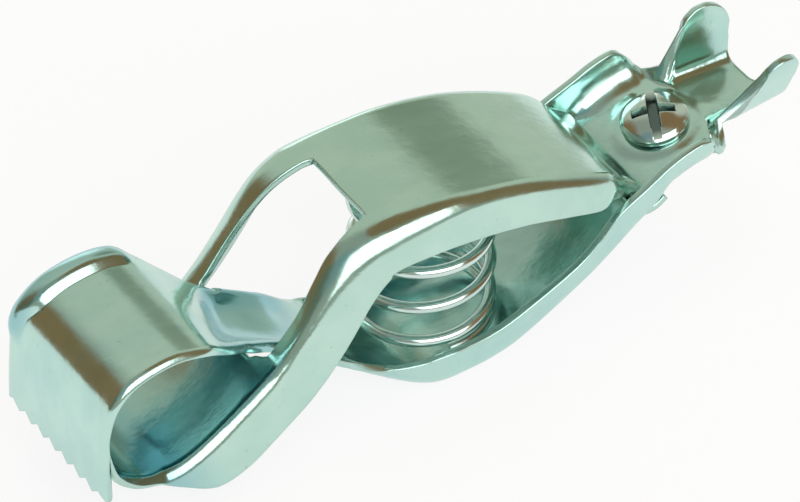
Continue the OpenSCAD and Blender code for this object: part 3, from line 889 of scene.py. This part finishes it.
# ---------------------------------------------------------------- materials
class Tree:
    """The nodes of a material or of the world."""

    def __init__(self, owner):
        owner.use_nodes = True
        self.nodes, self.links = owner.node_tree.nodes, owner.node_tree.links

    def put(self, socket, value):
        """Feeds a socket from another node's output, or sets its plain value."""
        if isinstance(value, bpy.types.NodeSocket):
            self.links.new(value, socket)
        elif socket.type == "RGBA":
            socket.default_value = (*value, 1)
        else:
            socket.default_value = value

    def add(self, kind, inputs, output, **settings):
        """A new node with these inputs. Returns one of its outputs."""
        node = self.nodes.new("ShaderNode" + kind)
        for key, value in settings.items():
            setattr(node, key, value)
        for socket, value in inputs.items():
            self.put(node.inputs[socket], value)
        return node.outputs[output]

    def mixed(self, share, a, b):
        return self.add("Mix", {0: share, 6: a, 7: b}, 2, data_type="RGBA")

    def ranged(self, source, low, high, to_low=0, to_high=1):
        return self.add("MapRange", {"Value": source, "From Min": low, "From Max": high,
                                     "To Min": to_low, "To Max": to_high},
                        "Result", interpolation_type="SMOOTHSTEP")

    def scaled_sum(self, a, factor, b):
        return self.add("Math", {0: a, 1: factor, 2: b}, 0, operation="MULTIPLY_ADD")

    def attribute(self, name):
        return self.add("Attribute", {}, "Fac", attribute_name=name)

    def noise(self, scale, detail, stretch=(1, 1, 1), roughness=0.5):
        """Noise in the piece's own coordinates."""
        coords = self.add("TexCoord", {}, "Object")
        vector = self.add("Mapping", {"Vector": coords, "Scale": stretch}, "Vector")
        return self.add("TexNoise", {"Vector": vector, "Scale": scale, "Detail": detail,
                                     "Roughness": roughness}, "Fac")

    def bump(self, height, strength, distance, **below):
        return self.add("Bump", {"Height": height, "Strength": strength,
                                 "Distance": distance, **below}, "Normal")


# colours of the painted shade on inner faces and in the screw's recess
PAINTED_SHADE_TINT, RECESS_PAINTED_SHADE = (0.24, 0.52, 0.58), (0.13, 0.18, 0.18)
WAVE_DEPTH, LINE_DEPTH = 0.00004, 0.000012       # in metres


def shade(colour, factor):
    return tuple(factor * c for c in colour)


def plated(name, pale, deep, rough, grain):
    """Bright zinc plate: a faint mottle, drawing marks along X, fine scratches, with painted
    shade on inner faces and in the screw's recess.
    """
    mat = bpy.data.materials.new(name)
    tree = Tree(mat)
    mottle = tree.ranged(tree.noise(170, 4, (1, 1.6, 1)), 0.35, 0.68)
    speck = tree.ranged(tree.noise(2600, 2), 0.66, 0.8)
    rim = tree.ranged(tree.attribute("rim"), 0.2, 1.0, 0, 0.55)
    colour = tree.mixed(mottle, pale, deep)
    colour = tree.mixed(speck, colour, shade(deep, 0.82))
    colour = tree.mixed(rim, colour, shade(pale, 0.9))
    # painted shade on inner faces, and a painted reflection on the jaw's far border
    colour = tree.mixed(tree.attribute("inside"), colour, PAINTED_SHADE_TINT)
    # painted shade in the screw's cross and slot
    colour = tree.mixed(tree.attribute("recess"), colour, RECESS_PAINTED_SHADE)
    smear = tree.noise(330, 5, (0.25, 1, 1), 0.65)
    roughness = tree.ranged(smear, 0.3, 0.75, rough, rough + 0.11)
    waves = tree.bump(tree.noise(520, 3), 0.5, WAVE_DEPTH * grain)
    lines = tree.bump(tree.noise(3800, 4, (0.06, 1, 1), 0.6), 0.35, LINE_DEPTH * grain,
                      Normal=waves)
    inputs = tree.nodes["Principled BSDF"].inputs
    tree.put(inputs["Metallic"], 1.0)
    tree.put(inputs["Base Color"], colour)
    tree.put(inputs["Roughness"], tree.scaled_sum(rim, 0.2, roughness))
    tree.put(inputs["Normal"], lines)
    return mat


def finish_piece(obj, node_name, body, material):
    """Gives a piece its material, hides the CAD node that it replaces, and parents it to the
    body that it rides on, if any.
    """
    obj.data.materials.clear()
    obj.data.materials.append(material)
    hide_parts(node_name)
    if body:
        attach(obj, body)


lower = lower_handle()
upper = upper_handle()
spring = coil_spring()
screw = terminal_screw()
finish_piece(lower, "lower_handle", "lower",
             plated("zinc_lower", (0.55, 0.79, 0.73), (0.49, 0.74, 0.70), 0.13, 1.6))
finish_piece(upper, "upper_handle", "upper",
             plated("zinc_upper", (0.56, 0.79, 0.71), (0.51, 0.74, 0.67), 0.12, 1.6))
finish_piece(spring, "coil_spring", None,
             plated("zinc_wire", (0.70, 0.83, 0.80), (0.62, 0.77, 0.74), 0.1, 0.5))
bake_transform(spring)
finish_piece(screw, "terminal_screw", "screw",
             plated("zinc_screw", (0.66, 0.80, 0.75), (0.58, 0.73, 0.69), 0.09, 0.5))


# ---------------------------------------------------------------- studio
VIEW_AZ, VIEW_EL = math.radians(-34), math.radians(43)
VIEW_TARGET = Vector((-2.46, 0, 11.58)) * 0.001
VIEW_DISTANCE = 0.630
FOCAL_PX, IMAGE_W = 6600, 800
SENSOR = 36


def direction(azimuth, elevation):
    """From the clip towards a viewer. Azimuth 0 is on the near side."""
    return Vector((math.sin(azimuth) * math.cos(elevation),
                   -math.cos(azimuth) * math.cos(elevation), math.sin(elevation)))


def camera():
    data = bpy.data.cameras.new("camera")
    data.sensor_width = SENSOR
    data.lens = FOCAL_PX * SENSOR / IMAGE_W
    data.clip_start, data.clip_end = 0.01, 50
    cam = bpy.data.objects.new("camera", data)
    back = direction(VIEW_AZ, VIEW_EL)
    cam.location = VIEW_TARGET + back * VIEW_DISTANCE
    cam.rotation_mode = "QUATERNION"
    cam.rotation_quaternion = (-back).to_track_quat("-Z", "Y")
    bpy.context.scene.collection.objects.link(cam)
    bpy.context.scene.camera = cam


def lamp(name, towards, distance, width, height, radiance, mirrored=True):
    """Soft box that looks at the clip from the given direction."""
    data = bpy.data.lights.new(name, "AREA")
    data.shape = "RECTANGLE"
    data.size, data.size_y = width, height
    data.energy = radiance * math.pi * width * height
    obj = bpy.data.objects.new(name, data)
    way = Vector(towards).normalized()
    obj.location = VIEW_TARGET + way * distance
    obj.rotation_mode = "QUATERNION"
    obj.rotation_quaternion = way.to_track_quat("Z", "Y")
    obj.visible_camera = False
    obj.visible_glossy = mirrored
    bpy.context.scene.collection.objects.link(obj)


WHITE, WALL, BROWN = (0.97, 0.97, 0.97), (0.60, 0.60, 0.50), (0.27, 0.16, 0.08)
DIM_ROOM = (0.36, 0.36, 0.31)
# what the plate mirrors: direction, inner and outer angle of the soft patch, its colour
PATCHES = [
    ((0.45, 0.75, 0.40), 40, 60, WALL),
    ((0.65, 0.61, 0.45), 6, 14, (0.30, 0.32, 0.24)),
    ((0.30, 0.0, 0.95), 14, 26, BROWN),
    ((0.66, -0.42, 0.62), 20, 32, BROWN),
    ((0.80, -0.48, 0.25), 16, 30, BROWN),
    ((-0.80, 0.52, 0.25), 22, 36, BROWN),
    ((-0.92, 0.05, 0.38), 14, 26, (0.17, 0.17, 0.12)),
    ((-0.66, -0.24, 0.71), 12, 24, (0.22, 0.31, 0.32)),
    ((0.36, 0.93, 0.07), 8, 15, (1.5, 1.5, 1.45)),
]


def world():
    """Room light in soft patches. The camera itself sees a plain pale backdrop."""
    room = bpy.data.worlds.new("room")
    tree = Tree(room)
    coords = tree.add("TexCoord", {}, "Generated")
    colour = DIM_ROOM
    for towards, inner, outer, patch in PATCHES:
        dot = tree.add("VectorMath", {0: coords, 1: Vector(towards).normalized()}, "Value",
                       operation="DOT_PRODUCT")
        share = tree.ranged(dot, math.cos(math.radians(outer)),
                            math.cos(math.radians(inner)))
        colour = tree.mixed(share, colour, patch)
    seen = tree.add("LightPath", {}, "Is Camera Ray")
    background = tree.nodes["Background"].inputs
    tree.put(background["Color"], tree.mixed(seen, colour, WHITE))
    tree.put(background["Strength"], 1.0)
    bpy.context.scene.world = room


FLOOR_HALF, FLOOR_COLOUR = 8.0, (0.93, 0.93, 0.93)
# share of plain white in what each kind of ray sees of the floor
FLOOR_WHITE = (("Is Camera Ray", 0.85), ("Is Glossy Ray", 0.5),
               ("Is Transmission Ray", 0.5))


def floor_material():
    """Pale matt floor. The part that is plain white leaves the clip's shadow visible."""
    mat = bpy.data.materials.new("pale_floor")
    tree = Tree(mat)
    matte = tree.nodes["Principled BSDF"]
    tree.put(matte.inputs["Base Color"], FLOOR_COLOUR)
    tree.put(matte.inputs["Roughness"], 0.9)
    tree.put(matte.inputs["Specular IOR Level"], 0.0)
    white = tree.add("Emission", {"Strength": 1.0}, 0)
    share = 0
    for ray, part in FLOOR_WHITE:
        share = tree.scaled_sum(tree.add("LightPath", {}, ray), part, share)
    mix = tree.add("MixShader", {0: share, 1: matte.outputs[0], 2: white}, 0)
    tree.put(tree.nodes["Material Output"].inputs["Surface"], mix)
    return mat


def floor():
    h = FLOOR_HALF
    mesh = bpy.data.meshes.new("floor")
    mesh.from_pydata([(-h, -h, 0), (h, -h, 0), (h, h, 0), (-h, h, 0)], [], [(0, 1, 2, 3)])
    mesh.materials.append(floor_material())
    obj = bpy.data.objects.new("floor", mesh)
    bpy.context.scene.collection.objects.link(obj)


camera()
world()
floor()
lamp("key", (-0.10, -0.77, 0.62), 1.8, 2.0, 1.45, 2.2)
lamp("fill", (0.2, 0.1, 1), 1.9, 1.6, 1.6, 1.4, mirrored=False)
bpy.context.scene.view_settings.view_transform = "Standard"
